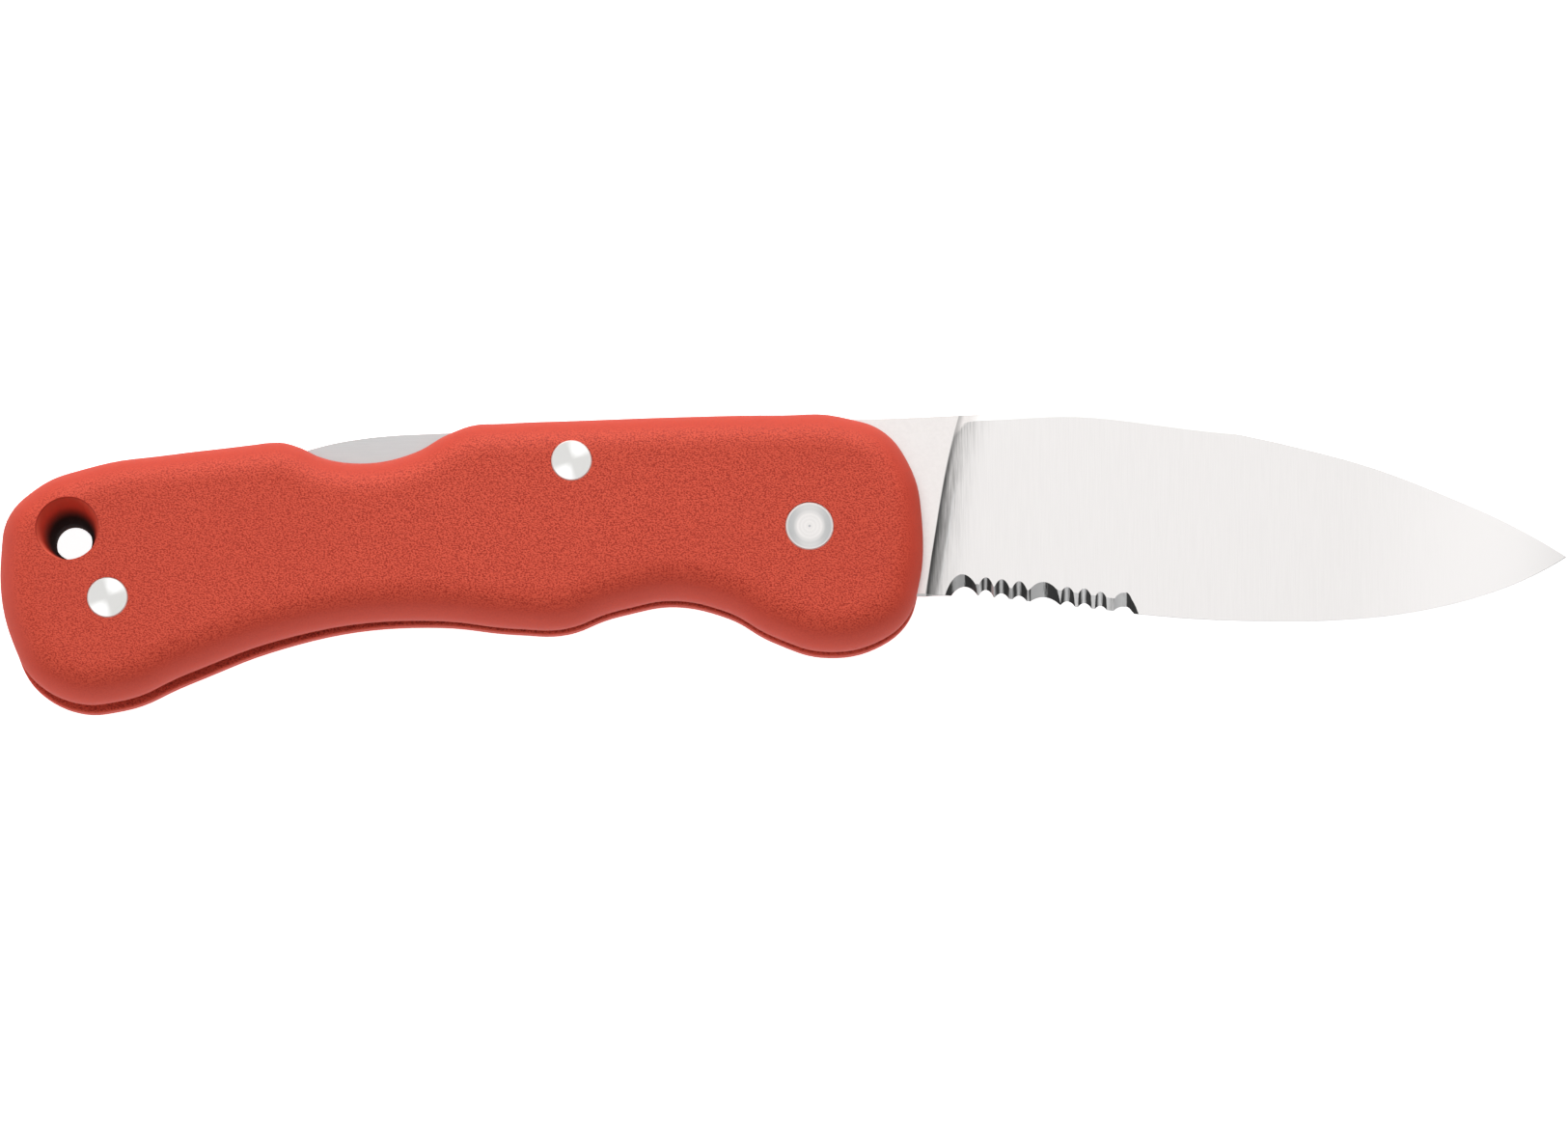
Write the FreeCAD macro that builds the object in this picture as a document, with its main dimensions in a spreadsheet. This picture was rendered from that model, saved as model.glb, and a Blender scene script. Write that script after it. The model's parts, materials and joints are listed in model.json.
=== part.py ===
# Rigging knife: a lock-back folding knife with two moulded scales, lying flat with its
# right side up. Everything is drawn about the blade pivot, then placed on the ground plane.
import FreeCAD, Part
import math
import os

V = FreeCAD.Vector
doc = FreeCAD.newDocument("RiggingKnife")

# ---------------------------------------------------------------- driving dimensions (mm)
SIZES = {
    "pivot_x": 2.715, "pivot_y": 2.951, "pivot_z": 7.0,
    "slot_half": 1.5, "scale_thickness": 5.5, "edge_round": 3.9, "seam_break": 0.3, "left_lip": 0.62,
    "liner_thickness": 1.0, "liner_inset": 2.0, "liner_fit": 0.1, "liner_end_angle": 15.0,
    "liner_end_x": -75.9,
    "blade_thickness": 2.5, "blade_bore": 2.04,
    "washer_thickness": 0.2, "washer_radius": 6.5, "washer_bore": 2.04,
    "pivot_head_radius": 2.6, "pivot_shank": 2.0, "pivot_core": 1.25,
    "rivet_head_radius": 2.2, "rivet_shank": 1.5, "rivet_core": 0.9,
    "head_thickness": 0.9, "head_clearance": 0.02, "shank_clearance": 0.05,
    "lock_pin_x": -25.66, "lock_pin_y": 7.14,
    "rear_rivet_x": -75.55, "rear_rivet_y": -7.75,
    "spring_pin_x": -60.5, "spring_pin_y": 0.5, "spring_pin_radius": 0.6,
    "spring_width": 2.3, "spring_bore": 0.64, "spring_socket": 1.75,
    "bar_bore": 1.54, "bar_thickness": 2.5,
    "lanyard_x": -79.95, "lanyard_y": -0.2, "lanyard_radius": 2.0,
    "lanyard_mouth": 3.45, "lanyard_throat": 1.9, "lanyard_cone": 11.76,
    "spacer_inset": 0.3, "head_rim": 0.12, "barrel_floor": 1.6, "plug_gap": 0.6, "plug_chamfer": 0.2,
    "plain_edge_half": 0.12, "nick_radius": 9.0, "nick_depth": 0.45, "nick_width": 2.2,
    "nick_x": 28.0, "nick_y": 8.6,
}
# lengths the other sizes give
DERIVED = {
    "scale_outer": "=slot_half + scale_thickness",
    "head_seat": "=scale_outer - head_thickness",
    "blade_half": "=blade_thickness / 2",
    "liner_outer": "=slot_half + liner_thickness",
    "recess_inset": "=liner_inset - liner_fit",
}

sheet = doc.addObject("Spreadsheet::Sheet", "Sizes")
row = 1
for name, value in list(SIZES.items()) + list(DERIVED.items()):
    sheet.set("A%d" % row, name)
    sheet.set("B%d" % row, str(value))
    sheet.setAlias("B%d" % row, name)
    row += 1
doc.recompute()


def size(name):
    return float(sheet.get(name))


def bind(obj, prop, expression):
    for name in list(SIZES) + list(DERIVED):
        expression = " ".join("Sizes." + w if w == name else w for w in expression.split(" "))
    obj.setExpression(prop, expression)
    return obj


def place(obj, label, x="", y="", z=""):
    # a finished piece: its label names its file, its place carries it to the ground frame
    obj.Label = label
    bind(obj, "Placement.Base.x", "pivot_x" + x)
    bind(obj, "Placement.Base.y", "pivot_y" + y)
    bind(obj, "Placement.Base.z", "pivot_z" + z)
    pieces.append(obj)
    return obj


pieces = []


# ---------------------------------------------------------------- small drawing helpers
STRAIGHT = 1e-5     # a bend gentler than this, per mm, is drawn as a line
PARALLEL = 1e-9     # two headings closer than this are one
LEVEL = 0.01        # an edge whose ends differ by less than this lies flat
REACH = 40.0        # how far a cutting block runs past the piece it trims


def points(pairs):
    return [V(x, y, 0) for x, y in pairs]


def polar(radius, degrees):
    angle = math.radians(degrees)
    return (radius * math.cos(angle), radius * math.sin(angle))


def line(a, b):
    return Part.LineSegment(V(a[0], a[1], 0), V(b[0], b[1], 0))


def arc_from(start, end, heading):
    # the arc (or line) that leaves start along the heading and reaches end
    side = V(-heading.y, heading.x, 0)
    chord = end - start
    bend = 2 * side.dot(chord) / chord.dot(chord)
    if abs(bend) < STRAIGHT:
        return Part.LineSegment(start, end)
    centre = start + side * (1 / bend)
    spoke = (start + end) * 0.5 - centre
    return Part.Arc(start, centre + spoke * (abs(1 / bend) / spoke.Length), end)


def smooth(pairs, closed=False):
    # a smooth run of arcs through the points, two arcs that share a tangent to each gap
    spots = points(pairs)
    count = len(spots)
    headings = []
    for i in range(count):
        inner = i if closed else min(max(i, 1), count - 2)
        before = spots[inner] - spots[inner - 1]
        after = spots[(inner + 1) % count] - spots[inner]
        heading = before * (after.Length / before.Length) + after * (before.Length / after.Length)
        if i != inner:
            chord = before if i < inner else after
            chord = chord * (1 / chord.Length)
            heading = chord * (2 * heading.dot(chord)) - heading
        heading.normalize()
        headings.append(heading)
    run = []
    for i in range(count if closed else count - 1):
        start, end = spots[i], spots[(i + 1) % count]
        leave, arrive = headings[i], headings[(i + 1) % count]
        chord = end - start
        spread = 2 * (1 - leave.dot(arrive))
        reach = chord.dot(leave + arrive)
        if spread < PARALLEL:
            step = chord.dot(chord) / (4 * chord.dot(arrive))
        else:
            step = (math.sqrt(reach ** 2 + spread * chord.dot(chord)) - reach) / spread
        near = start + leave * step
        far = end - arrive * step
        across = far - near
        across.normalize()
        joint = (near + far) * 0.5
        run.append(arc_from(start, joint, leave))
        run.append(arc_from(joint, end, across))
    return run


def through(*pairs):
    return smooth(list(pairs))


def arc(a, mid, b):
    return Part.Arc(*points([a, mid, b]))


def loop(pairs):
    return [line(pairs[i], pairs[(i + 1) % len(pairs)]) for i in range(len(pairs))]


def flat_sketch(name, geometry):
    sketch = doc.addObject("Sketcher::SketchObject", name)
    sketch.addGeometry(geometry, False)
    doc.recompute()
    return sketch


def extrude(name, base, forward, back="", up=1):
    solid = doc.addObject("Part::Extrusion", name)
    solid.Base = base
    solid.DirMode = "Custom"
    solid.Dir = V(0, 0, up)
    solid.Solid = True
    bind(solid, "LengthFwd", forward)
    if back:
        bind(solid, "LengthRev", back)
    doc.recompute()
    return solid


def inset(name, base, amount):
    ring = doc.addObject("Part::Offset2D", name)
    ring.Source = base
    ring.Mode = "Skin"
    ring.Join = 0
    bind(ring, "Value", "-1 * " + amount)
    doc.recompute()
    return ring


def rod(name, radius, low, length, x="0", y="0"):
    solid = doc.addObject("Part::Cylinder", name)
    bind(solid, "Radius", radius)
    bind(solid, "Height", length)
    bind(solid, "Placement.Base.x", x)
    bind(solid, "Placement.Base.y", y)
    bind(solid, "Placement.Base.z", low)
    return solid


def box(name, length, width, height):
    solid = doc.addObject("Part::Box", name)
    solid.Length = length
    solid.Width = width
    bind(solid, "Height", height)
    return solid


def fuse(name, shapes):
    result = doc.addObject("Part::MultiFuse", name)
    result.Shapes = shapes
    doc.recompute()
    return result


def cut(name, base, tool):
    result = doc.addObject("Part::Cut", name)
    result.Refine = False
    result.Base = base
    result.Tool = tool
    doc.recompute()
    return result


def cut_each(name, base, tools):
    for number, tool in enumerate(tools):
        base = cut("%s_Cut%d" % (name, number), base, tool)
    return base


def carve(name, base, tools):
    # a rounded moulding with every seat and hole taken out of it in turn
    solid = base.Shape.Solids[0]
    for tool in tools:
        solid = solid.cut(tool.Shape).Solids[0]
    result = doc.addObject("Part::Feature", name)
    result.Shape = solid
    return result


def common(name, base, tool):
    result = doc.addObject("Part::Common", name)
    result.Refine = False
    result.Base = base
    result.Tool = tool
    doc.recompute()
    return result


def body_plane(body, role):
    return next(o for o in body.Origin.OriginFeatures if o.Role == role)


def body_sketch(body, name, geometry, role="XY_Plane"):
    sketch = body.newObject("Sketcher::SketchObject", name)
    sketch.AttachmentSupport = [(body_plane(body, role), "")]
    sketch.MapMode = "FlatFace"
    sketch.addGeometry(geometry, False)
    doc.recompute()
    return sketch


def pad(body, sketch, name, length):
    feature = body.newObject("PartDesign::Pad", name)
    feature.Profile = sketch
    feature.SideType = "Symmetric"
    bind(feature, "Length", length)
    doc.recompute()
    return feature


def bore(body, name, radius, x=0, y=0):
    feature = body.newObject("PartDesign::SubtractiveCylinder", name)
    bind(feature, "Radius", radius)
    bind(feature, "Height", "2 * scale_outer")
    feature.Placement = FreeCAD.Placement(V(x, y, -size("scale_outer")), FreeCAD.Rotation())
    doc.recompute()
    return feature


# ---------------------------------------------------------------- handle outline
# tail, back with the thumb notch, bolster round the pivot, finger groove and belly
TAIL = [(-87.35, -3.6), (-86.35, 1.8), (-83.2, 4.8), (-77.0, 7.1), (-68.7, 8.35), (-62.0, 9.15)]
NOTCH = [(-60.0, 9.4), (-58.4, 9.6), (-56.78, 9.58), (-55.23, 9.13), (-52.8, 8.0), (-47.75, 7.35),
         (-42.6, 8.55), (-39.0, 10.55), (-36.6, 11.45), (-33.0, 11.7)]
BACK = [(-24.0, 12.05), (-14.3, 12.4), (-4.0, 12.6), (3.2, 12.45)]
BOLSTER = [(8.2, 10.65), (11.15, 6.4), (12.2, 0.6), (12.0, -4.9), (10.4, -9.6), (6.4, -12.35)]
GRIP = [(1.2, -12.96), (-4.0, -11.3), (-8.8, -8.7), (-14.4, -7.45), (-20.6, -8.5), (-27.0, -10.6)]
BELLY = [(-31.6, -10.5), (-40.0, -9.65), (-49.0, -10.0), (-58.5, -12.1), (-67.0, -15.35), (-74.0, -18.3)]
BUTT = [(-78.5, -18.7), (-83.6, -16.2), (-86.3, -11.2)]
# share of the left scale's lip at each point, from the belly round the butt
LIP_SHARE = [0.0, 0.1, 0.3, 0.6, 0.8, 0.72, 0.76, 0.7, 0.0]


def handle_outline_points(lip):
    deeper = [(x, y - lip * drop) for (x, y), drop in zip(BELLY + BUTT, LIP_SHARE)]
    return TAIL + NOTCH + BACK + BOLSTER + GRIP + deeper


def handle_blank(name, lip):
    outline = flat_sketch(name + "Outline", smooth(handle_outline_points(lip), closed=True))
    face = doc.addObject("Part::Face", name + "Face")
    face.Sources = [outline]
    face.FaceMakerClass = "Part::FaceMakerBullseye"
    doc.recompute()
    return face


handle_face = handle_blank("Handle", 0)
blanks = {"right": handle_face, "left": handle_blank("LeftHandle", size("left_lip"))}
recess_outline = inset("RecessOutline", handle_face, "recess_inset")
liner_outline = inset("LinerOutline", handle_face, "liner_inset")
spacer_outline = inset("SpacerOutline", handle_face, "spacer_inset")

# ---------------------------------------------------------------- lanyard hole
# a flared mouth on the right side that a stopper knot seats in, and a straight land on the left
mouth = doc.addObject("Part::Cone", "LanyardMouth")
bind(mouth, "Radius1", "lanyard_throat")
bind(mouth, "Radius2", "lanyard_mouth")
bind(mouth, "Height", "lanyard_cone")
bind(mouth, "Placement.Base.x", "lanyard_x")
bind(mouth, "Placement.Base.y", "lanyard_y")
bind(mouth, "Placement.Base.z", "scale_outer - lanyard_cone")
land = rod("LanyardLand", "lanyard_radius", "-1 * scale_outer", "2 * scale_outer",
           "lanyard_x", "lanyard_y")
lanyard = [land, mouth]

# ---------------------------------------------------------------- rivet seats
FASTENERS = [("pivot", "0", "0"), ("rivet", "lock_pin_x", "lock_pin_y"),
             ("rivet", "rear_rivet_x", "rear_rivet_y")]


def rivet_seats(side):
    # shank holes right through, and the counterbores the heads sit flush in
    tools = []
    for number, (kind, x, y) in enumerate(FASTENERS):
        tag = "%s%d_%s" % (kind, number, side)
        tools.append(rod("Hole_" + tag, kind + "_shank + shank_clearance", "-1 * scale_outer",
                         "2 * scale_outer", x, y))
        seat = "head_seat" if side == "right" else "-1 * scale_outer"
        tools.append(rod("Seat_" + tag, kind + "_head_radius + head_clearance", seat,
                         "head_thickness", x, y))
    return tools


# ---------------------------------------------------------------- scales and liners
UP = {"right": 1, "left": -1}


def liner_blank(name, outline_used, side, gap):
    # flat plate that stops on a slant short of the lanyard hole
    plate = extrude(name + "Plate", outline_used, "liner_outer", "-1 * slot_half", UP[side])
    tail = box(name + "Tail", REACH, 2 * REACH, "4 * scale_outer")
    slant = FreeCAD.Rotation(V(0, 0, 1), -size("liner_end_angle"))
    end = V(size("liner_end_x") - gap, 0, -2 * size("scale_outer"))
    tail.Placement = FreeCAD.Placement(end - slant.multVec(V(REACH, REACH, 0)), slant)
    doc.recompute()
    return cut(name + "Blank", plate, tail)


def make_scale(side):
    name = "Scale_" + side
    block = extrude(name + "_Block", blanks[side], "scale_outer", "-1 * slot_half", UP[side])
    outer_z = UP[side] * size("scale_outer")
    rims = []
    for number, edge in enumerate(block.Shape.Edges, 1):
        box_of = edge.BoundBox
        if box_of.ZLength < LEVEL:
            on_face = abs(box_of.ZMin - outer_z) < LEVEL
            radius = size("edge_round") if on_face else size("seam_break")
            rims.append((number, radius, radius))
    rounded = doc.addObject("Part::Fillet", name + "_Rounded")
    rounded.Base = block
    rounded.Edges = rims
    doc.recompute()
    recess = liner_blank(name + "_Recess", recess_outline, side, size("liner_fit"))
    tools = rivet_seats(side) + lanyard + [recess]
    doc.recompute()
    return place(carve(name, rounded, tools), side + "_scale")


def make_liner(side):
    name = "Liner_" + side
    blank = liner_blank(name, liner_outline, side, 0)
    holes = [rod(name + "_Pin", "spring_pin_radius", "-1 * scale_outer", "2 * scale_outer",
                 "spring_pin_x", "spring_pin_y")]
    for number, (kind, x, y) in enumerate(FASTENERS):
        holes.append(rod("%s_Hole%d" % (name, number), kind + "_shank + shank_clearance",
                         "-1 * scale_outer", "2 * scale_outer", x, y))
    return place(cut_each(name, blank, holes), side + "_liner")


for hand in ("right", "left"):
    make_scale(hand)
    make_liner(hand)

# ---------------------------------------------------------------- rear spacer
# fills the tail above the folded edge, with a round seat for the root of the spring
SPACER_REGION = [(-56.2, 14.0), (-56.2, 4.6), (-59.9, 2.6), (-59.9, -3.2), (-65.2, -5.5), (-71.6, -8.5),
                 (-73.4, -10.0), (-75.4, -10.4), (-76.6, -11.6), (-80.2, -13.4), (-92.0, -13.4),
                 (-92.0, 14.0)]
region = extrude("SpacerRegion", flat_sketch("SpacerRegionSketch", loop(SPACER_REGION)),
                 "slot_half", "slot_half")
spacer_plate = extrude("SpacerPlate", spacer_outline, "slot_half", "slot_half")
spacer_blank = common("SpacerBlank", spacer_plate, region)
spacer_tools = [
    mouth,
    rod("SpacerRivetHole", "rivet_shank + shank_clearance", "-1 * scale_outer", "2 * scale_outer",
        "rear_rivet_x", "rear_rivet_y"),
    rod("SpringSocket", "spring_socket", "-1 * scale_outer", "2 * scale_outer",
        "spring_pin_x", "spring_pin_y"),
]
place(cut_each("Spacer", spacer_blank, spacer_tools), "rear_spacer")

# ---------------------------------------------------------------- blade
# tang circle, locking tooth and notch behind the pivot; drop point with a scalloped length
TANG, TOOTH, NOTCH_WALL = 8.6, 10.4, -1.5
TOOTH_FRONT, TOOTH_BACK = 108.4, 114.7
SPINE = 12.4
RICASSO = -6.5
wall_foot = (NOTCH_WALL, math.sqrt(TANG ** 2 - NOTCH_WALL ** 2))
ricasso_foot = (math.sqrt(TANG ** 2 - RICASSO ** 2), RICASSO)
wall_angle = math.degrees(math.atan2(wall_foot[1], wall_foot[0]))
ricasso_angle = 360 + math.degrees(math.atan2(ricasso_foot[1], ricasso_foot[0]))
HEEL = (15.0, -6.6)
TIP = (81.95, -2.41)
blade = doc.addObject("PartDesign::Body", "Blade")
blade_profile = [
    *through((NOTCH_WALL, SPINE), (6.0, 12.5), (17.0, 12.95), (27.5, 13.5), (36.0, 12.8), (44.3, 11.3),
             (52.6, 9.5), (61.0, 7.2), (69.3, 4.0), (75.85, 1.05), TIP),
    *through(TIP, (77.45, -4.9), (73.3, -6.5), (65.0, -8.5), (56.6, -9.34), (48.2, -9.4), (40.0, -9.05),
             (35.2, -8.6), (28.0, -7.8), (21.0, -6.9), HEEL),
    line(HEEL, ricasso_foot),
    arc(ricasso_foot, polar(TANG, (ricasso_angle + TOOTH_BACK) / 2), polar(TANG, TOOTH_BACK)),
    line(polar(TANG, TOOTH_BACK), polar(TOOTH, TOOTH_BACK)),
    arc(polar(TOOTH, TOOTH_BACK), polar(TOOTH, (TOOTH_BACK + TOOTH_FRONT) / 2),
        polar(TOOTH, TOOTH_FRONT)),
    line(polar(TOOTH, TOOTH_FRONT), polar(TANG, TOOTH_FRONT)),
    arc(polar(TANG, TOOTH_FRONT), polar(TANG, (TOOTH_FRONT + wall_angle) / 2), wall_foot),
    line(wall_foot, (NOTCH_WALL, SPINE)),
]
pad(blade, body_sketch(blade, "BladeProfile", blade_profile), "BladeStock", "blade_thickness")
bore(blade, "PivotBore", "blade_bore")

# the grind: stations run from the plunge to the tip; each gives the top of the grind, a spot
# just below the edge, and how far out of the mid-plane the ground face lies at the two
GRIND = [((14.9, 11.3), (12.42, -8.0), 1.262, 1.262), ((16.8, 12.1), (12.75, -7.9), 1.248, 0.78),
         ((17.2, 12.2), (13.3, -7.8), 1.25, 0.48), ((17.9, 12.3), (14.4, -7.7), 1.25, 0.28),
         ((19.7, 12.4), (16.2, -7.7), 1.25, 0.13), ((23.4, 12.6), (21.0, -8.1), 1.25, 0.08),
         ((29.0, 12.75), (29.0, -8.95), 1.25, 0.06), ((43.0, 11.15), (44.0, -10.25), 1.25, 0.06),
         ((58.0, 9.6), (60.0, -10.1), 1.25, 0.06), ((72.0, 5.9), (73.0, -7.75), 1.25, 0.05),
         ((84.5, 1.6), (84.5, -3.6), 1.25, 0.04)]


def grind_cutter(side):
    # everything outside the surface ruled from the top of the grind down to the edge
    hand = "right" if side > 0 else "left"
    # both rails share their parameters, so that each station's top faces its own foot
    middles = [V(*top, 0) + V(*foot, 0) for top, foot, _, _ in GRIND]
    shared = [0.0]
    for here, there in zip(middles, middles[1:]):
        shared.append(shared[-1] + (there - here).Length / 2)
    rails = []
    for rail, spots in (("Top", [V(top[0], top[1], side * high) for top, _, high, _ in GRIND]),
                        ("Edge", [V(foot[0], foot[1], side * low) for _, foot, _, low in GRIND])):
        spline = Part.BSplineCurve()
        spline.interpolate(Points=spots, Parameters=shared)
        feature = doc.addObject("Part::Feature", "Grind%s_%s" % (rail, hand))
        feature.Shape = spline.toShape()
        rails.append(feature)
    surface = doc.addObject("Part::RuledSurface", "GrindSurface_" + hand)
    surface.Curve1 = (rails[0], ["Edge1"])
    surface.Curve2 = (rails[1], ["Edge1"])
    doc.recompute()
    return extrude("GrindCutter_" + hand, surface, "blade_thickness", up=side)


# scallops ground from the right side: (along the edge, trough height, radius, lean in degrees)
SCALLOPS = [(16.7, -5.36, 2.7, 23.4), (19.1, -5.80, 1.4, 18.0), (20.8, -6.17, 1.8, 16.0),
            (22.7, -6.41, 1.85, 16.0), (25.3, -6.56, 6.4, 15.4), (27.9, -7.10, 2.1, 14.4),
            (29.75, -7.33, 2.0, 13.4), (31.5, -7.67, 1.9, 13.0), (33.9, -7.76, 3.8, 13.3),
            (34.25, -7.74, 1.6, 13.3)]
SCALLOP_RUN = 16.0


def scallop(number, along, trough, radius, degrees):
    angle = math.radians(degrees)
    lean = V(0, math.cos(angle), math.sin(angle))
    away = V(0, -math.sin(angle), math.cos(angle))
    tool = doc.addObject("Part::Cylinder", "Scallop%d" % number)
    tool.Radius = radius
    tool.Height = SCALLOP_RUN
    start = V(along, trough, -size("plain_edge_half")) + away * radius - lean * (SCALLOP_RUN / 2)
    tool.Placement = FreeCAD.Placement(start, FreeCAD.Rotation(V(0, 0, 1), lean))
    return tool


# the bevel the scallops are ground into: (from, to, depth past the mid-plane, lean in degrees)
BEVELS = [(17.9, 24.6, 0.14, 16.5), (26.2, 34.8, 0.12, 12.0)]
BEVEL_START = (18.0, -6.57)
BEVEL_FALL = 6.8
BEVEL_BELOW = 3.0


def bevel(number, near, far, depth, degrees):
    turn = FreeCAD.Rotation(V(0, 0, 1), -BEVEL_FALL) * FreeCAD.Rotation(V(1, 0, 0), degrees)
    tool = box("Bevel%d" % number, far - near, SCALLOP_RUN, "blade_thickness")
    run = near - BEVEL_START[0]
    foot = V(near, BEVEL_START[1] - run * math.tan(math.radians(BEVEL_FALL)), -depth)
    tool.Placement = FreeCAD.Placement(foot + turn.multVec(V(0, -BEVEL_BELOW, 0)), turn)
    return tool


# a thumbnail nick near the spine, on the left side only
nick = doc.addObject("Part::Cylinder", "NailNick")
bind(nick, "Radius", "nick_radius")
bind(nick, "Height", "nick_width")
nick_level = size("nick_depth") - size("blade_half") - size("nick_radius")
nick.Placement = FreeCAD.Placement(V(size("nick_x"), size("nick_y"), nick_level),
                                   FreeCAD.Rotation(V(1, 0, 0), -90))
doc.recompute()

ground = cut("BladeGroundRight", blade, grind_cutter(1))
ground = cut("BladeGroundLeft", ground, grind_cutter(-1))
tools = [bevel(n, *spec) for n, spec in enumerate(BEVELS)]
tools += [scallop(n, *spec) for n, spec in enumerate(SCALLOPS)]
teeth = fuse("Scallops", tools + [nick])
place(cut("BladeFinished", ground, teeth), "blade")

# ---------------------------------------------------------------- lock bar
# rocker on the middle rivet: hook over the tang, belly stop for the folded blade, thumb pad
HOOK = 8.8
HOOK_BACK = 107.2
HOOK_FRONT = -1.75
BELLY_RADIUS = 10.65
hook_foot = (HOOK_FRONT, math.sqrt(HOOK ** 2 - HOOK_FRONT ** 2))
hook_angle = math.degrees(math.atan2(hook_foot[1], hook_foot[0]))
lock_bar = doc.addObject("PartDesign::Body", "LockBar")
bar_profile = [
    line((HOOK_FRONT, 12.15), hook_foot),
    arc(hook_foot, polar(HOOK, (hook_angle + HOOK_BACK) / 2), polar(HOOK, HOOK_BACK)),
    line(polar(HOOK, HOOK_BACK), polar(BELLY_RADIUS, HOOK_BACK)),
    arc(polar(BELLY_RADIUS, HOOK_BACK), polar(BELLY_RADIUS, 112.0), polar(BELLY_RADIUS, 116.6)),
    *through(polar(BELLY_RADIUS, 116.6), (-7.0, 8.6), (-9.2, 6.2), (-11.2, 4.55)),
    line((-11.2, 4.55), (-14.0, 3.93)),
    *through((-14.0, 3.93), (-17.0, 4.6), (-21.5, 4.0), (-25.66, 3.4), (-29.6, 4.4), (-34.0, 6.4),
             (-38.6, 7.2), (-46.0, 7.15), (-53.0, 6.7)),
    arc((-53.0, 6.7), (-54.6, 7.7), (-54.3, 9.1)),
    *through((-54.3, 9.1), (-51.2, 9.9), (-48.1, 10.4), (-44.9, 10.72), (-41.0, 10.9), (-35.0, 11.15),
             (-25.0, 11.6), (-12.0, 12.0), (HOOK_FRONT, 12.15)),
]
pad(lock_bar, body_sketch(lock_bar, "BarProfile", bar_profile), "BarStock", "bar_thickness")
bore(lock_bar, "RockerBore", "bar_bore", size("lock_pin_x"), size("lock_pin_y"))
place(lock_bar, "lock_bar")

# ---------------------------------------------------------------- lock spring
# leaf with an eye round its pin and a heel that bears on the spacer
PIN = (size("spring_pin_x"), size("spring_pin_y"))
EYE = 1.0
eye_back = (PIN[0] - math.hypot(EYE, EYE), PIN[1])
eye_top = (PIN[0] + EYE, PIN[1] + EYE)
eye_low = (PIN[0] + EYE, PIN[1] - EYE)
lock_spring = doc.addObject("PartDesign::Body", "LockSpring")
spring_profile = [
    arc(eye_top, eye_back, eye_low),
    *through(eye_low, (-54.0, 0.9), (-47.0, 3.55), (-41.5, 5.65), (-38.2, 6.0)),
    arc((-38.2, 6.0), (-37.6, 6.55), (-38.2, 7.05)),
    *through((-38.2, 7.05), (-41.7, 6.7), (-47.6, 4.65), (-54.2, 2.3), eye_top),
]
pad(lock_spring, body_sketch(lock_spring, "SpringProfile", spring_profile), "SpringStock", "spring_width")
bore(lock_spring, "SpringEye", "spring_bore", PIN[0], PIN[1])
place(lock_spring, "lock_spring")

spring_pin = doc.addObject("Part::Cylinder", "SpringPin")
bind(spring_pin, "Radius", "spring_pin_radius")
bind(spring_pin, "Height", "2 * liner_outer")
place(spring_pin, "spring_pin", " + spring_pin_x", " + spring_pin_y", " - liner_outer")

# ---------------------------------------------------------------- pivot washers
for hand in ("right", "left"):
    disc = rod("WasherDisc_" + hand, "washer_radius", "0", "washer_thickness")
    eye = rod("WasherEye_" + hand, "washer_bore", "0", "washer_thickness")
    level = " + slot_half - washer_thickness" if hand == "right" else " - slot_half"
    place(cut("Washer_" + hand, disc, eye), hand + "_washer", "", "", level)


# ---------------------------------------------------------------- two-part rivets
def turned(name, corners):
    # a piece turned about its own axis; each corner is (radius, height)
    body = doc.addObject("PartDesign::Body", name)
    profile = body_sketch(body, name + "Profile", loop(corners), "XZ_Plane")
    feature = body.newObject("PartDesign::Revolution", name + "Turning")
    feature.Profile = profile
    feature.ReferenceAxis = (profile, ["V_Axis"])
    feature.Angle = 360
    doc.recompute()
    return body


def two_part_rivet(kind, x, y, labels):
    head = size(kind + "_head_radius")
    shank = size(kind + "_shank")
    core = size(kind + "_core")
    top = size("scale_outer")
    seat = size("head_seat")
    rim = size("head_rim")
    floor = seat - size("barrel_floor")
    tip = floor - size("plug_gap")
    chamfer = size("plug_chamfer")
    barrel = turned(labels[0].title().replace("_", ""), [
        (0, top), (head - rim, top), (head, top - rim), (head, seat), (shank, seat),
        (shank, -seat), (core, -seat), (core, floor), (0, floor)])
    plug = turned(labels[1].title().replace("_", ""), [
        (0, -top), (head - rim, -top), (head, rim - top), (head, -seat), (core, -seat),
        (core, tip - chamfer), (core - chamfer, tip), (0, tip)])
    for body, label in zip((barrel, plug), labels):
        place(body, label, x, y)


two_part_rivet("pivot", "", "", ["pivot_barrel", "pivot_plug"])
two_part_rivet("rivet", " + lock_pin_x", " + lock_pin_y", ["lock_rivet_barrel", "lock_rivet_plug"])
two_part_rivet("rivet", " + rear_rivet_x", " + rear_rivet_y", ["rear_rivet_barrel", "rear_rivet_plug"])

# ---------------------------------------------------------------- check and write
doc.recompute()
for obj in doc.Objects:
    if "Invalid" in obj.State or "Error" in obj.State:
        raise RuntimeError("%s: %s" % (obj.Name, obj.State))
    shape = getattr(obj, "Shape", None)
    if shape is not None and obj.TypeId not in ("App::Origin", "App::Line", "App::Plane", "App::Point"):
        if shape.isNull() or not shape.isValid():
            raise RuntimeError("%s: bad shape" % obj.Name)

os.makedirs("parts", exist_ok=True)
for piece in pieces:
    if len(piece.Shape.Solids) != 1:
        raise RuntimeError("%s has %d solids" % (piece.Label, len(piece.Shape.Solids)))
    piece.Shape.exportStep("parts/%s.step" % piece.Label)
    print(piece.Label, piece.Shape.BoundBox)
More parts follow.
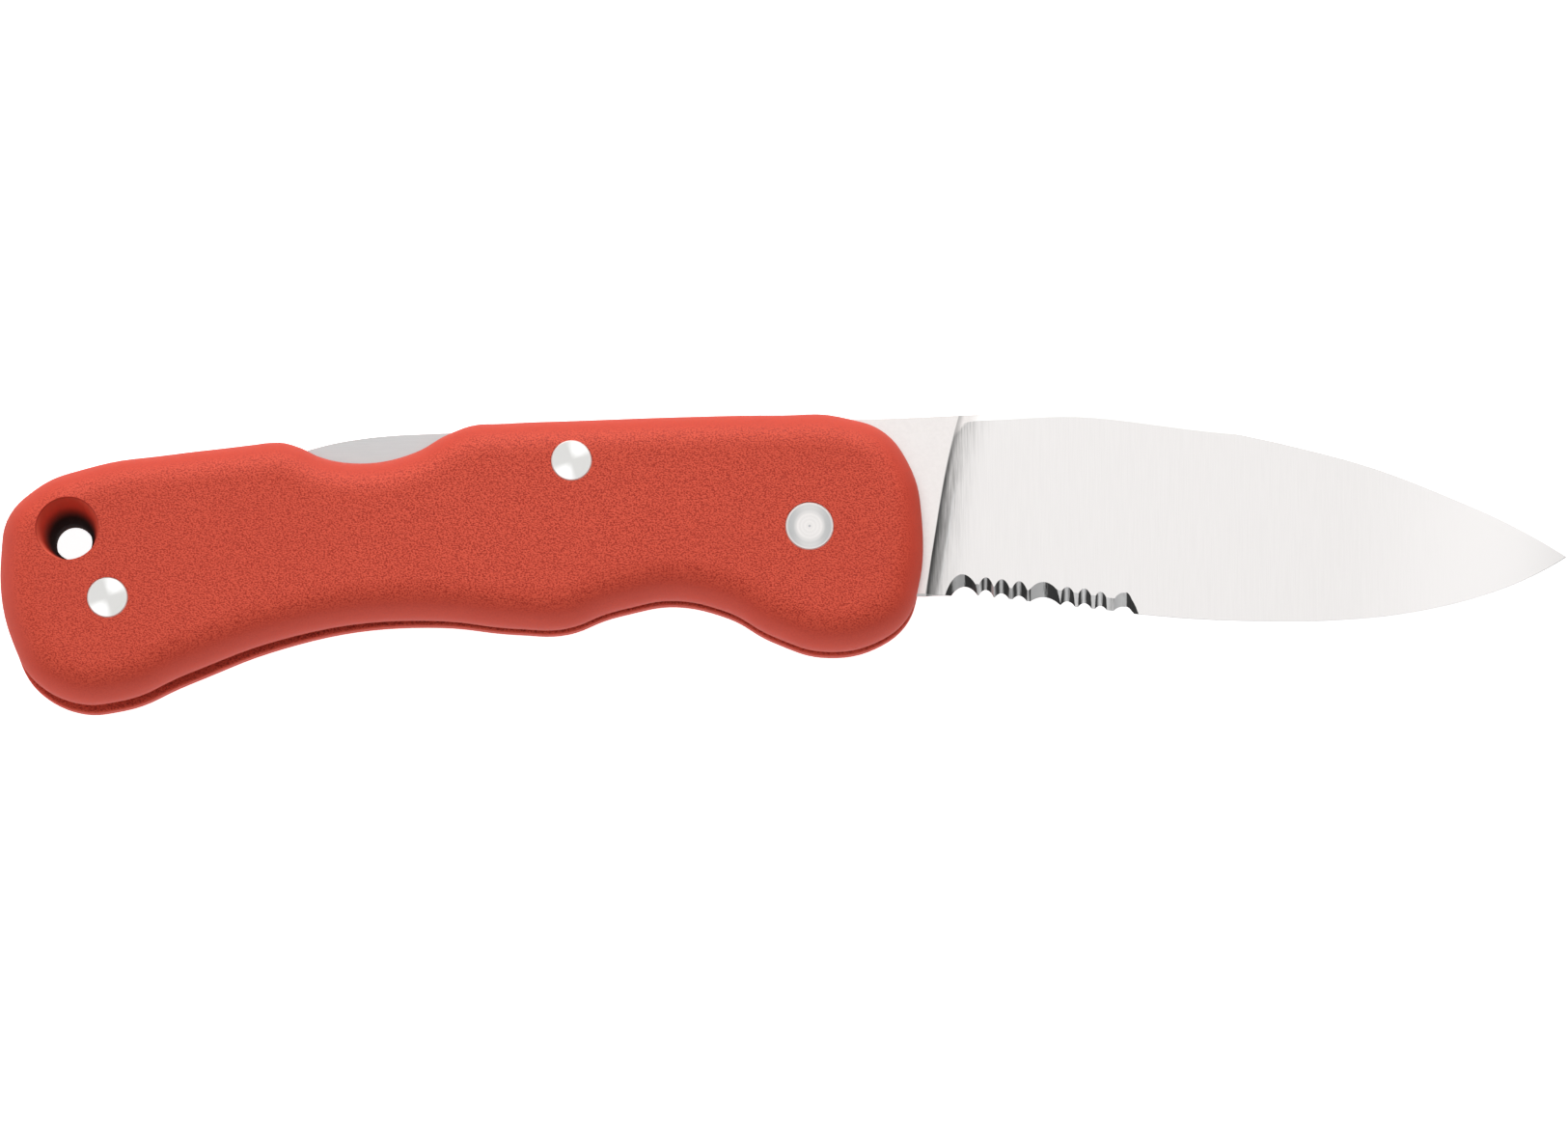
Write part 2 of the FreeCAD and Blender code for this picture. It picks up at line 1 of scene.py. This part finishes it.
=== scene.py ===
# Rigging knife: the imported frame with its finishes, on a pale floor in soft studio light.
import json
import math

import bpy
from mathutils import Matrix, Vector

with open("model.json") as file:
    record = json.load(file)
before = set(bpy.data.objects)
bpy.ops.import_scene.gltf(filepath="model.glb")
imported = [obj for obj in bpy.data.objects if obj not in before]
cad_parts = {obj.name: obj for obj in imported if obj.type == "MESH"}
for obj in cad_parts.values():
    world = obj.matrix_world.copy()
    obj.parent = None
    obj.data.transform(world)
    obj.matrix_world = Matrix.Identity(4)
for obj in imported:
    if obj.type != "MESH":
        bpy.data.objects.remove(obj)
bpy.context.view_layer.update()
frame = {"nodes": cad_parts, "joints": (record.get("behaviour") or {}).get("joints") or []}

nodes = frame["nodes"]
scene = bpy.context.scene
MM = 0.001

# where the axes of the pivot and of the lanyard hole cross the mid-plane of the slot
joint = {j["name"]: j for j in frame["joints"]}
PIVOT = Vector(joint["blade_pivot"]["pos_m"])
LANYARD = PIVOT + Vector((-79.95, -0.20, 0.0)) * MM


# ------------------------------------------------------------------ node helpers
class Shader:
    """A material's node tree with short calls for the nodes used here."""

    def __init__(self, name):
        self.material = bpy.data.materials.new(name)
        self.material.use_nodes = True
        self.tree = self.material.node_tree
        self.tree.nodes.clear()
        output = self.tree.nodes.new("ShaderNodeOutputMaterial")
        self.bsdf = self.tree.nodes.new("ShaderNodeBsdfPrincipled")
        self.feed(output.inputs["Surface"], self.bsdf.outputs[0])

    def feed(self, socket, value):
        """Link another node's output to a socket, or set the socket's own number or colour."""
        if isinstance(value, bpy.types.NodeSocket):
            self.tree.links.new(value, socket)
        elif socket.type == "RGBA":
            socket.default_value = (*value, 1.0)
        else:
            socket.default_value = value

    def node(self, kind, inputs=None, **settings):
        made = self.tree.nodes.new(kind)
        for key, value in settings.items():
            setattr(made, key, value)
        for key, value in (inputs or {}).items():
            self.feed(made.inputs[key], value)
        return made

    def coord(self, kind):
        return self.node("ShaderNodeTexCoord").outputs[kind]

    def axes(self, vector):
        return self.node("ShaderNodeSeparateXYZ", {"Vector": vector}).outputs

    def mapped(self, vector, **inputs):
        return self.node("ShaderNodeMapping", {"Vector": vector, **inputs}).outputs[0]

    def place(self, scale=(1, 1, 1)):
        """Position in metres, fixed to the object and scaled each way."""
        return self.mapped(self.coord("Object"), Scale=scale)

    def from_point(self, holder, point):
        """Position in millimetres measured from a world point, fixed to the holder object."""
        origin = holder.matrix_world.inverted() @ point
        return self.mapped(self.coord("Object"), Scale=(1 / MM,) * 3,
                           Location=tuple(-c / MM for c in origin))

    def noise(self, vector, scale, detail=2.0, rough=0.5):
        return self.node("ShaderNodeTexNoise", {"Vector": vector, "Scale": scale, "Detail": detail,
                                                "Roughness": rough}).outputs["Fac"]

    def math(self, operation, a, b=0.0):
        made = self.node("ShaderNodeMath", operation=operation)
        self.feed(made.inputs[0], a)
        self.feed(made.inputs[1], b)
        return made.outputs[0]

    def plus(self, a, b):
        return self.math("ADD", a, b)

    def minus(self, a, b):
        return self.math("SUBTRACT", a, b)

    def times(self, a, b):
        return self.math("MULTIPLY", a, b)

    def remap(self, value, span, to=(0.0, 1.0), smooth=True):
        """Carry a span of values to another span, and hold it at both ends."""
        made = self.node("ShaderNodeMapRange", {"Value": value, "From Min": span[0], "From Max": span[1],
                                                "To Min": to[0], "To Max": to[1]},
                         interpolation_type="SMOOTHSTEP" if smooth else "LINEAR")
        return made.outputs["Result"]

    def mix(self, factor, a, b):
        made = self.node("ShaderNodeMix", data_type="RGBA")
        # a colour mix keeps its factor in the first socket and its two colours in these
        for index, value in ((0, factor), (6, a), (7, b)):
            self.feed(made.inputs[index], value)
        return made.outputs[2]

    def ramp(self, value, stops):
        """Grey level by value, straight between the (value, level) stops."""
        low, high = stops[0][0], stops[-1][0]
        made = self.node("ShaderNodeValToRGB", {0: self.remap(value, (low, high), smooth=False)})
        elements = made.color_ramp.elements
        for spot, level in stops[1:-1]:
            elements.new((spot - low) / (high - low)).color = (level, level, level, 1.0)
        for element, (_, level) in ((elements[0], stops[0]), (elements[-1], stops[-1])):
            element.color = (level, level, level, 1.0)
        return made.outputs["Color"]

    def bump(self, height, distance, strength):
        return self.node("ShaderNodeBump", {"Height": height, "Distance": distance,
                                            "Strength": strength}).outputs[0]

    def set(self, **values):
        for key, value in values.items():
            self.feed(self.bsdf.inputs[key.replace("_", " ")], value)


# A pair of numbers given to remap says where a mask is 0 and where it is 1, unless a comment
# says otherwise. Noise scales are per metre, and bump depths are in metres.
MIDDLE_NOISE = (0.3, 0.7)

# ------------------------------------------------------------------ red moulded nylon
RED = (0.527, 0.048, 0.024)
RED_DEEP = (0.370, 0.026, 0.012)
RED_LIGHT = (0.720, 0.095, 0.051)
# painted light on the lanyard hole's wall, and painted shade deeper in the hole
RED_BORE_PAINTED_LIGHT = (0.830, 0.150, 0.090)
HOLE_SHADE = (0.050, 0.012, 0.009)
GRAIN_STRETCH = (0.75, 1.0, 1.0)
FINE_GRAIN, BROAD_GRAIN, RED_CLOUD = 6800.0, 1900.0, 45.0
FINE_SHARE, BROAD_SHARE, CLOUD_SHARE = 0.85, 0.25, 0.22
PALE_SPECK, DEEP_SPECK = (0.32, 0.68), (0.50, 0.30)
GRAIN_DEPTH, GRAIN_STRENGTH = 0.00011, 0.85
# how squarely a face looks up or down, and the share of the grain left on the rounding
FLAT_FACE, ROUNDING_GRAIN = (0.70, 0.985), 0.18
# least and most roughness
NYLON_ROUGH = (0.50, 0.64)
# the lanyard hole in millimetres: out from its axis, then up from the mid-plane
BORE_WALL, BORE_MOUTH, BORE_SHADE = (3.55, 3.40), (6.9, 6.0), (3.6, -1.8)


def grained_red(name, holder, grain=1.0):
    """Spark-eroded mould texture on the flat faces, smoother on the rounded edges."""
    s = Shader(name)
    where = s.place(GRAIN_STRETCH)
    fine = s.noise(where, FINE_GRAIN, detail=1.0)
    broad = s.noise(where, BROAD_GRAIN)
    cloud = s.noise(where, RED_CLOUD)
    up = s.axes(s.node("ShaderNodeNewGeometry").outputs["Normal"])[2]
    flat = s.remap(s.math("ABSOLUTE", up), FLAT_FACE, (ROUNDING_GRAIN, 1.0))
    height = s.times(s.plus(s.times(fine, FINE_SHARE), s.times(broad, BROAD_SHARE)), flat)
    colour = s.mix(s.times(s.remap(fine, PALE_SPECK), flat), RED, RED_LIGHT)
    colour = s.mix(s.times(s.remap(fine, DEEP_SPECK), flat), colour, RED_DEEP)
    colour = s.mix(s.remap(cloud, MIDDLE_NOISE, (0.0, CLOUD_SHARE)), colour, RED)
    # painted light and shade in the flared hole: its wall is painted paler inside, and painted shade
    # darkens it more the deeper it goes
    hole_x, hole_y, above = s.axes(s.from_point(holder, LANYARD))
    away = s.math("SQRT", s.plus(s.times(hole_x, hole_x), s.times(hole_y, hole_y)))
    bore = s.remap(away, BORE_WALL)
    colour = s.mix(s.times(bore, s.remap(above, BORE_MOUTH)), colour, RED_BORE_PAINTED_LIGHT)
    colour = s.mix(s.times(bore, s.remap(above, BORE_SHADE)), colour, HOLE_SHADE)
    rough = s.math("MAXIMUM", s.remap(fine, MIDDLE_NOISE, NYLON_ROUGH), bore)
    s.set(Base_Color=colour, Roughness=rough, IOR=1.5, Specular_IOR_Level=0.25,
          Normal=s.bump(height, GRAIN_DEPTH, GRAIN_STRENGTH * grain))
    return s.material


# ------------------------------------------------------------------ plain brushed parts
# noise scales each way, small in the direction that the lines run
LINES_ALONG, LINES_UPRIGHT, NO_LINES = (0.04, 1.0, 1.0), (1.0, 1.0, 0.05), (1.0, 1.0, 1.0)
BRUSH_LINES, BRUSH_CLOUD = 9000.0, 90.0
BRUSH_CLOUD_NOISE, BRUSH_CLOUD_SHARE = (0.35, 0.65), 0.5
BRUSH_ROUGH_NOISE = (0.25, 0.75)
BRUSH_SMOOTHER, BRUSH_ROUGHER = 0.04, 0.05
BRUSH_DARK = 0.90
BRUSH_DEPTH, BRUSH_STRENGTH = 0.00002, 0.25
STREAK_DETAIL, STREAK_ROUGH = 3.0, 0.6


def brushed_steel(name, colour, rough, stretch):
    """Fine straight brushing over a soft clouding."""
    s = Shader(name)
    streaks = s.noise(s.place(stretch), BRUSH_LINES, STREAK_DETAIL, STREAK_ROUGH)
    cloud = s.noise(s.place(), BRUSH_CLOUD)
    dark = tuple(c * BRUSH_DARK for c in colour)
    tone = s.mix(s.remap(streaks, MIDDLE_NOISE), dark, colour)
    tone = s.mix(s.remap(cloud, BRUSH_CLOUD_NOISE, (0.0, BRUSH_CLOUD_SHARE)), tone, colour)
    roughness = s.remap(streaks, BRUSH_ROUGH_NOISE, (rough - BRUSH_SMOOTHER, rough + BRUSH_ROUGHER))
    s.set(Base_Color=tone, Metallic=1.0, Roughness=roughness,
          Normal=s.bump(streaks, BRUSH_DEPTH, BRUSH_STRENGTH))
    return s.material


# ------------------------------------------------------------------ the blade
# the plunge line in millimetres from the pivot: where it starts, its lean and its bow
PLUNGE_FOOT, PLUNGE_LEAN, PLUNGE_BOW = 13.605, 0.156, 0.00028
GRIND_DARK, GRIND_PALE, GRIND_TIP = (0.765, 0.745, 0.735), (0.79, 0.77, 0.76), (0.88, 0.86, 0.85)
# painted shade near the plunge: its streaked dark tones, and the dark line along the plunge line
PLUNGE_SHADE_DARK, PLUNGE_SHADE_PALE, PLUNGE_LINE_SHADE = (0.13, 0.125, 0.12), (0.53, 0.515, 0.505), (0.055, 0.055, 0.055)
STOCK_DARK, STOCK_PALE, SPINE_STRIP = (0.760, 0.725, 0.71), (0.785, 0.75, 0.735), (0.97, 0.97, 0.95)
# the streaks run across the blade
BLADE_STRETCH = (1.0, 0.02, 0.3)
BLADE_STREAKS, BLADE_MOTTLE, MOTTLE_ROUGH = 9000.0, 2600.0, 0.6
GRIND_STREAK, PLUNGE_STREAK = (0.28, 0.72), (0.36, 0.64)
# how level a face is: the grind leans a little and the scallops' walls lean more
GRIND_LEVEL, SCALLOP_LEVEL = (0.99995, 0.9992), (0.985, 0.975)
# millimetres past the plunge line toward the tip
SHADE_START, SHADE_END = (0.0, 0.12), (4.5, 0.2)
LINE_SHADE_START, LINE_SHADE_END = (-0.08, 0.05), (0.75, 0.05)
SCALLOPS_FROM, STRIP_FROM, TIP_FROM = (1.2, 1.6), (1.0, 3.0), (42.0, 66.0)
# millimetres above the pivot, each with how strong the painted shade or the painted dark line is at its
# two ends
SHADE_HEIGHTS, SHADE_SHARES = (10.0, -6.0), (0.85, 0.55)
LINE_SHADE_HEIGHTS, LINE_SHADE_SHARES = (11.6, 6.0), (0.45, 0.90)
# stretches of the edge with small scallops, and how far their ends fade
SMALL_SCALLOPS, SMALL_FADE = ((18.1, 24.0), (26.9, 32.5)), 0.1
# painted highlight and shade in a scallop: grey level by how far its wall turns to the tip, and how far
# a streak shifts that
WIDE_SCALLOP_SHADING = ((-0.60, 0.12), (-0.30, 0.06), (-0.07, 0.08), (-0.01, 0.80), (0.03, 0.78), (0.30, 0.72),
              (0.40, 0.50), (0.48, 0.08), (0.60, 0.06))
SMALL_SCALLOP_SHADING = ((-0.60, 0.60), (-0.46, 0.50), (-0.38, 0.06), (-0.14, 0.07), (-0.04, 0.80), (0.06, 0.98),
               (0.13, 0.50), (0.18, 0.08), (0.30, 0.10), (0.36, 0.60), (0.44, 0.98), (0.60, 0.90))
STREAK_SHIFT = 0.16
BLADE_ROUGH, SCALLOP_SMOOTHER = 0.36, 0.02
BLADE_DEPTH, BLADE_STRENGTH = 0.00001, 0.10


def blade_steel(name, holder):
    """Satin stock, cross-brushing on the grind that painted shade darkens into the plunge with a painted
    dark line along it, and streaked scallops painted light and dark by their facing.
    """
    s = Shader(name)
    normal = s.axes(s.coord("Normal"))
    level = s.math("ABSOLUTE", normal[2])
    along, rise, _ = s.axes(s.from_point(holder, PIVOT))
    # how far past the plunge line a point is; the line bows to the tip toward the spine
    bow = s.times(s.math("POWER", s.math("ABSOLUTE", rise), 3.0), PLUNGE_BOW)
    line = s.plus(s.times(rise, PLUNGE_LEAN), bow)
    past = s.minus(s.minus(along, line), PLUNGE_FOOT)
    # painted shade: the grind is painted darker toward the plunge line, where the plunge wall falls into
    # shade
    near = s.times(s.remap(past, SHADE_START), s.remap(past, SHADE_END, smooth=False))
    shade = s.times(s.times(near, near), s.remap(rise, SHADE_HEIGHTS, SHADE_SHARES, smooth=False))
    # the painted dark line along the plunge line
    edge = s.times(s.remap(past, LINE_SHADE_START), s.remap(past, LINE_SHADE_END))
    edge = s.times(edge, s.remap(rise, LINE_SHADE_HEIGHTS, LINE_SHADE_SHARES, smooth=False))
    ground = s.remap(level, GRIND_LEVEL)
    scallop = s.times(s.remap(level, SCALLOP_LEVEL), s.remap(past, SCALLOPS_FROM))
    streaks = s.noise(s.place(BLADE_STRETCH), BLADE_STREAKS, STREAK_DETAIL, STREAK_ROUGH)
    mottle = s.noise(s.place(), BLADE_MOTTLE, rough=MOTTLE_ROUGH)
    fine = s.mix(s.remap(streaks, GRIND_STREAK), GRIND_DARK, GRIND_PALE)
    fine = s.mix(s.remap(past, TIP_FROM), fine, GRIND_TIP)
    brushed_shade = s.mix(s.remap(streaks, PLUNGE_STREAK), PLUNGE_SHADE_DARK, PLUNGE_SHADE_PALE)
    plain = s.mix(s.remap(mottle, MIDDLE_NOISE), STOCK_DARK, STOCK_PALE)
    plain = s.mix(s.remap(past, STRIP_FROM), plain, SPINE_STRIP)
    tone = s.mix(ground, plain, s.mix(shade, fine, brushed_shade))
    tone = s.mix(edge, tone, PLUNGE_LINE_SHADE)
    # painted highlight and shade: the scallops' walls are painted light or dark by the way they face
    # along the blade, and the grinding streaks shift it
    facing = s.plus(normal[0], s.times(s.minus(streaks, 0.5), STREAK_SHIFT))
    first, second = (s.times(s.remap(along, (start, start + SMALL_FADE)),
                             s.remap(along, (end, end - SMALL_FADE))) for start, end in SMALL_SCALLOPS)
    scallop_light_and_shade = s.mix(s.plus(first, second), s.ramp(facing, WIDE_SCALLOP_SHADING), s.ramp(facing, SMALL_SCALLOP_SHADING))
    tone = s.mix(scallop, tone, scallop_light_and_shade)
    s.set(Base_Color=tone, Metallic=1.0,
          Roughness=s.minus(BLADE_ROUGH, s.times(scallop, SCALLOP_SMOOTHER)),
          Normal=s.bump(s.times(streaks, ground), BLADE_DEPTH, BLADE_STRENGTH))
    return s.material


# ------------------------------------------------------------------ the round heads
# cosine and twice the sine of 124 degrees: the painted highlight fans lie along a line at 62 degrees
FAN_COSINE, FAN_SINE = -0.559, 1.658
FAN_SPREAD, FAN_RADII = (-0.20, 1.05), (0.02, 0.60)
# the grey between the painted highlight fans, and the painted highlight itself
FAN_DARK, FAN_HIGHLIGHT = (0.640, 0.635, 0.62), (0.99, 0.99, 0.98)
# distances are shares of the head's radius, from its middle
RING_START, RING_END, DIMPLE = (0.48, 0.70), (0.99, 0.86), (0.075, 0.03)
# the ring is darker where it lies along the knife: distance along, and the ring's share there
RING_ALONG, RING_SHARES = (0.15, 0.85), (0.45, 1.0)
# radians of the faint rings' wave over one radius
RINGS_WAVE = 42.0
HEAD_DARK, HEAD_PALE = (0.72, 0.695, 0.68), (0.76, 0.735, 0.72)
RING_TONE, DIMPLE_TONE = (0.44, 0.445, 0.445), (0.45, 0.45, 0.46)
HEAD_CLOUD, HEAD_CLOUD_SHARE, HEAD_GREY = 900.0, 0.12, (0.62, 0.62, 0.62)
# how squarely a face looks up or down: the head's face is bare metal, its broken edge is paler
HEAD_FACE, HEAD_RIM = (0.80, 0.96), (0.86, 0.72, 0.68)
HEAD_ROUGH, HEAD_DEPTH, HEAD_STRENGTH = 0.34, 0.00001, 0.10
LEAST_SQUARE = 0.0001


def turned_head(name, lobes):
    """Lathe-faced head: two painted highlight fans (lobes) or faint rings, and a pale broken edge."""
    s = Shader(name)
    # the head runs from -1 to 1 each way
    spot = s.mapped(s.coord("Generated"), Location=(-1.0, -1.0, 0.0), Scale=(2.0, 2.0, 1.0))
    x, y, _ = s.axes(spot)
    xx = s.times(x, x)
    yy = s.times(y, y)
    square = s.math("MAXIMUM", s.plus(xx, yy), LEAST_SQUARE)
    radius = s.math("SQRT", square)
    cloud = s.noise(s.place(), HEAD_CLOUD)
    if lobes:
        # cosine of twice the angle from the fans' line
        double = s.plus(s.times(s.minus(xx, yy), FAN_COSINE), s.times(s.times(x, y), FAN_SINE))
        fan = s.math("DIVIDE", double, square)
        # painted highlight: the two fans
        bright = s.times(s.remap(fan, FAN_SPREAD), s.remap(radius, FAN_RADII))
        tone = s.mix(bright, FAN_DARK, FAN_HIGHLIGHT)
    else:
        ring = s.times(s.remap(radius, RING_START), s.remap(radius, RING_END))
        ring = s.times(ring, s.remap(s.math("ABSOLUTE", x), RING_ALONG, RING_SHARES))
        rings = s.math("SINE", s.times(radius, RINGS_WAVE))
        tone = s.mix(s.remap(rings, (-1.0, 1.0)), HEAD_DARK, HEAD_PALE)
        tone = s.mix(ring, tone, RING_TONE)
        tone = s.mix(s.remap(radius, DIMPLE), tone, DIMPLE_TONE)
    tone = s.mix(s.remap(cloud, MIDDLE_NOISE, (0.0, HEAD_CLOUD_SHARE)), tone, HEAD_GREY)
    up = s.axes(s.node("ShaderNodeNewGeometry").outputs["Normal"])[2]
    face = s.remap(s.math("ABSOLUTE", up), HEAD_FACE)
    s.set(Base_Color=s.mix(face, HEAD_RIM, tone), Metallic=face, Roughness=HEAD_ROUGH,
          Normal=s.bump(cloud, HEAD_DEPTH, HEAD_STRENGTH))
    return s.material


# ------------------------------------------------------------------ which piece has which finish
red = grained_red("red_grained_nylon", nodes["right_scale"])
red_left = grained_red("red_grained_nylon_left", nodes["left_scale"])
red_inner = grained_red("red_moulded_nylon", nodes["rear_spacer"], grain=0.4)
liner = brushed_steel("liner_steel", (0.62, 0.62, 0.61), 0.38, LINES_ALONG)
bar = brushed_steel("lock_bar_steel", (0.58, 0.58, 0.58), 0.42, LINES_ALONG)
spring = brushed_steel("spring_steel", (0.40, 0.41, 0.44), 0.33, LINES_ALONG)
pin = brushed_steel("pin_steel", (0.66, 0.66, 0.66), 0.25, LINES_UPRIGHT)
bronze = brushed_steel("bronze_washer", (0.72, 0.46, 0.22), 0.35, NO_LINES)
fanned = turned_head("turned_rivet_steel", lobes=True)
ringed = turned_head("turned_pivot_steel", lobes=False)
blade = blade_steel("blade_steel", nodes["blade"])

FINISH = {
    "right_scale": red, "left_scale": red_left, "rear_spacer": red_inner,
    "right_liner": liner, "left_liner": liner, "lock_bar": bar, "lock_spring": spring,
    "spring_pin": pin, "right_washer": bronze, "left_washer": bronze,
    "pivot_barrel": ringed, "pivot_plug": ringed,
    "lock_rivet_barrel": fanned, "lock_rivet_plug": fanned,
    "rear_rivet_barrel": fanned, "rear_rivet_plug": fanned, "blade": blade,
}
for name, material in FINISH.items():
    slots = nodes[name].data.materials
    slots.clear()
    slots.append(material)


# ------------------------------------------------------------------ floor, light, camera
FLOOR_HALF, FLOOR_DROP = 1.6, 0.0002
FLOOR_GLOW, FLOOR_GREY, FLOOR_ROUGH = 0.92, 0.9, 0.9
# the world's strength overhead and low round the room, and the span of a direction's height,
# 1 being straight up, in which it changes from low to overhead
SKY_FILL, SKY_LOW, SKY_HEIGHTS = 0.20, 0.62, (0.30, 0.95)
# half the knife's thickness up, where every softbox points
AIM = Vector((0, 0, 0.007))
# name, position, width and height in metres, and power in watts
SOFTBOXES = (("overhead", (0.0, 0.06, 0.90), 1.10, 0.62, 2.3),
             ("key_back", (0.05, 0.75, 0.50), 1.1, 0.45, 8.2),
             ("low_front", (0.0, -0.55, 0.045), 1.0, 0.07, 0.9),
             ("side_tail", (-0.8, 0.0, 0.30), 0.2, 0.6, 1.4))


def floor():
    mesh = bpy.data.meshes.new("floor")
    half = FLOOR_HALF
    mesh.from_pydata([(-half, -half, 0), (half, -half, 0), (half, half, 0), (-half, half, 0)], [],
                     [(0, 1, 2, 3)])
    made = bpy.data.objects.new("floor", mesh)
    made.location.z = -FLOOR_DROP
    scene.collection.objects.link(made)
    pale = Shader("pale_floor")
    pale.set(Base_Color=(FLOOR_GREY,) * 3, Roughness=FLOOR_ROUGH, Emission_Color=(1, 1, 1),
             Emission_Strength=FLOOR_GLOW)
    mesh.materials.append(pale.material)
    made.visible_glossy = False


def softbox(name, spot, width, height, power):
    data = bpy.data.lights.new(name, "AREA")
    data.shape = "RECTANGLE"
    data.size = width
    data.size_y = height
    data.energy = power
    made = bpy.data.objects.new(name, data)
    made.location = spot
    made.rotation_euler = (AIM - Vector(spot)).to_track_quat("-Z", "Y").to_euler()
    scene.collection.objects.link(made)


def studio_world():
    """Even soft fill, with a paler band low round the room for the metal to reflect."""
    world = bpy.data.worlds.new("studio")
    world.use_nodes = True
    tree = world.node_tree
    heading = tree.nodes.new("ShaderNodeTexCoord")
    height = tree.nodes.new("ShaderNodeSeparateXYZ")
    band = tree.nodes.new("ShaderNodeMapRange")
    band.interpolation_type = "SMOOTHSTEP"
    band.inputs["From Min"].default_value = SKY_HEIGHTS[0]
    band.inputs["From Max"].default_value = SKY_HEIGHTS[1]
    band.inputs["To Min"].default_value = SKY_LOW
    band.inputs["To Max"].default_value = SKY_FILL
    # the light that the knife scatters comes from the fill alone
    ray = tree.nodes.new("ShaderNodeLightPath")
    choice = tree.nodes.new("ShaderNodeMix")
    choice.inputs["B"].default_value = SKY_FILL
    tree.links.new(heading.outputs["Generated"], height.inputs[0])
    tree.links.new(height.outputs["Z"], band.inputs["Value"])
    tree.links.new(ray.outputs["Is Diffuse Ray"], choice.inputs["Factor"])
    tree.links.new(band.outputs["Result"], choice.inputs["A"])
    background = tree.nodes["Background"]
    background.inputs["Color"].default_value = (1, 1, 1, 1)
    tree.links.new(choice.outputs["Result"], background.inputs["Strength"])
    scene.world = world


floor()
for box in SOFTBOXES:
    softbox(*box)
studio_world()
scene.view_settings.view_transform = "Standard"

TILT = math.radians(8.0)
DISTANCE = 1.150
LOOK_AT = PIVOT + Vector((-2.75, -3.21, 0.0)) * MM
WIDTH_SEEN = 0.16980
SENSOR = 36.0
camera = bpy.data.cameras.new("camera")
camera.sensor_width = SENSOR
camera.lens = SENSOR * DISTANCE / WIDTH_SEEN
camera.clip_start = 0.01
view = bpy.data.objects.new("camera", camera)
back = Vector((0.0, -math.sin(TILT), math.cos(TILT)))
view.location = LOOK_AT + back * DISTANCE
view.rotation_euler = (TILT, 0.0, 0.0)
scene.collection.objects.link(view)
scene.camera = view
